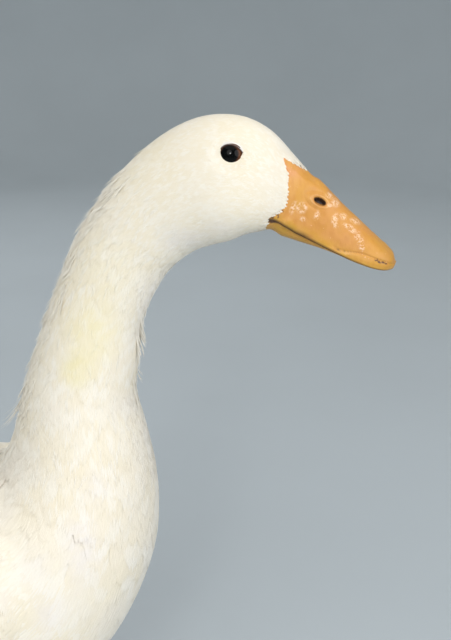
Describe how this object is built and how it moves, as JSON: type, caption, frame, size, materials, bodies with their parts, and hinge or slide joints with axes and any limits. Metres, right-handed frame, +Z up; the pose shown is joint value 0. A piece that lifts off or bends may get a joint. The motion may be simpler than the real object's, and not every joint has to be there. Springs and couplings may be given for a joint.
{
  "type": "duck",
  "caption": "White domestic duck standing on webbed orange feet, neck raised and head in profile with the bill lowered, a still life-size model.",
  "frame": {"origin": "on the floor, under the middle of the duck's box", "axes": "+X forward towards the bill, +Y to the duck's left, +Z up"},
  "size_m": [0.5062, 0.1752, 0.4499],
  "materials": {
    "plumage": "soft matt feathers, warm white with a cream tint",
    "bill": "satin waxy skin, orange yellow with pale scuffs",
    "eye": "wet gloss, dark brown to black",
    "leg": "satin scaled orange skin",
    "claw": "smooth horn"
  },
  "bodies": {
    "root": {"head": "plumage", "neck_upper": "plumage", "neck_lower": "plumage", "trunk": "plumage", "tail": "plumage", "wing_left": "plumage", "wing_right": "plumage", "thigh_left": "plumage", "thigh_right": "plumage", "bill_upper": "bill", "bill_lower": "bill", "eye_left": "eye", "eye_right": "eye", "shank_left": "leg", "shank_right": "leg", "foot_left": "leg", "foot_right": "leg", "hind_toe_left": "leg", "hind_toe_right": "leg", "claw_inner_left": "claw", "claw_inner_right": "claw", "claw_middle_left": "claw", "claw_middle_right": "claw", "claw_outer_left": "claw", "claw_outer_right": "claw", "claw_hind_left": "claw", "claw_hind_right": "claw"}
  },
  "joints": []
}
